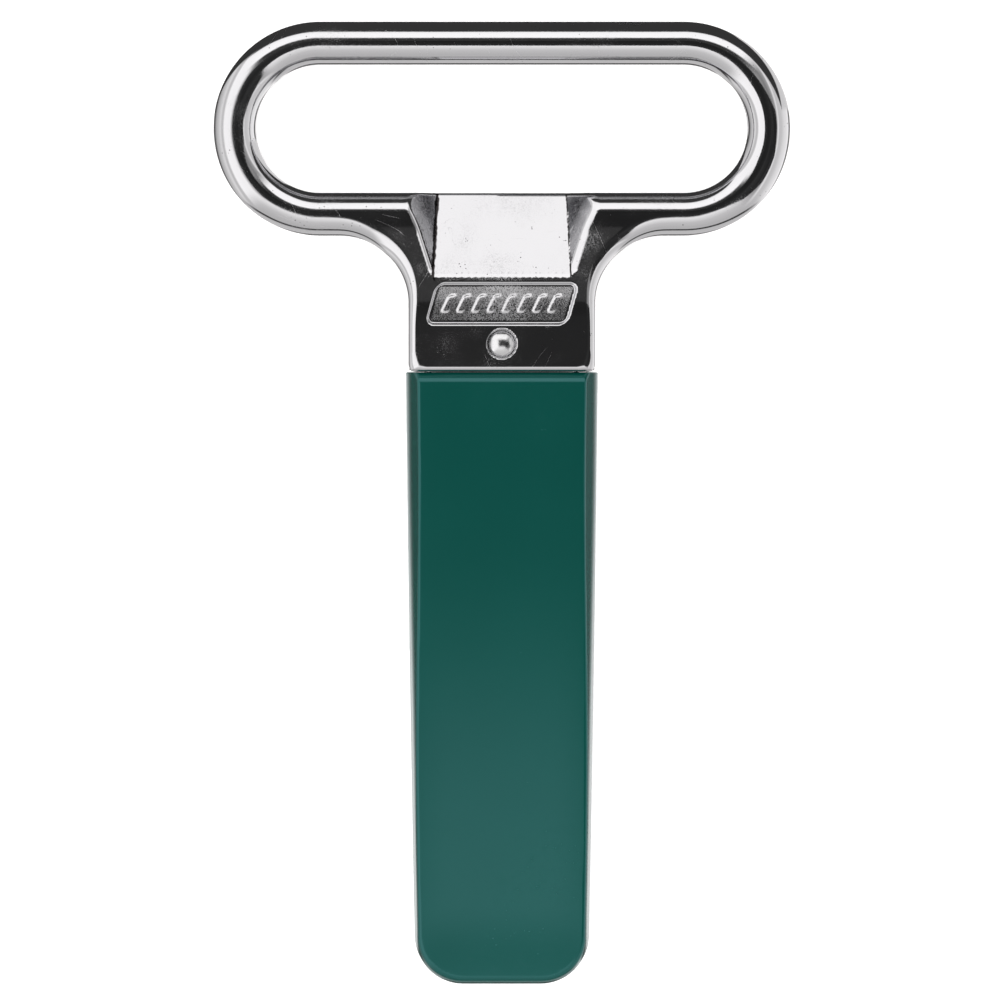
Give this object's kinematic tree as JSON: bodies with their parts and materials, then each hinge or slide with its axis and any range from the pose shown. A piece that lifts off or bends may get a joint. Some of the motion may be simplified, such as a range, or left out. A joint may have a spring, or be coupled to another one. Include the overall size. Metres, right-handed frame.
{
  "type": "two-prong cork puller",
  "caption": "Two-prong cork puller: cast handle with an oblong finger loop and a cap-lifter recess, thin spring-steel prongs riveted in its neck, and a pull-off plastic sheath.",
  "frame": {"origin": "on the resting surface, under the middle of the whole tool's box", "axes": "+X across the tool to the right as seen from the front, +Y from the sheath's end towards the finger loop, +Z out of the front face with the plaque and the cap-lifter recess"},
  "size_m": [0.0762, 0.127, 0.0123],
  "materials": {
    "chrome": "polished chrome plate over a zinc die casting",
    "rivet_steel": "polished, nickel-plated",
    "sleeve_steel": "plain turned steel",
    "spring_steel": "brushed lengthwise, hardened",
    "green_plastic": "glossy moulded, dark emerald green"
  },
  "bodies": {
    "handle": {"handle": "chrome", "rivet": "rivet_steel", "spacer_sleeve": "sleeve_steel"},
    "long_prong": {"long_prong": "spring_steel"},
    "short_prong": {"short_prong": "spring_steel"},
    "sheath": {"sheath": "green_plastic"}
  },
  "joints": [
    {"name": "sheath_slide", "type": "slide", "parent": "handle", "child": "sheath", "axis": [0, -1, 0], "range_m": [0, 0.08]},
    {"name": "long_prong_pivot", "type": "hinge", "parent": "handle", "child": "long_prong", "pos_m": [0, 0.0209, 0.006], "axis": [0, 0, 1], "range_deg": [-0.5, 3]},
    {"name": "short_prong_pivot", "type": "hinge", "parent": "handle", "child": "short_prong", "pos_m": [0, 0.0209, 0.006], "axis": [0, 0, -1], "range_deg": [-0.5, 3]}
  ]
}
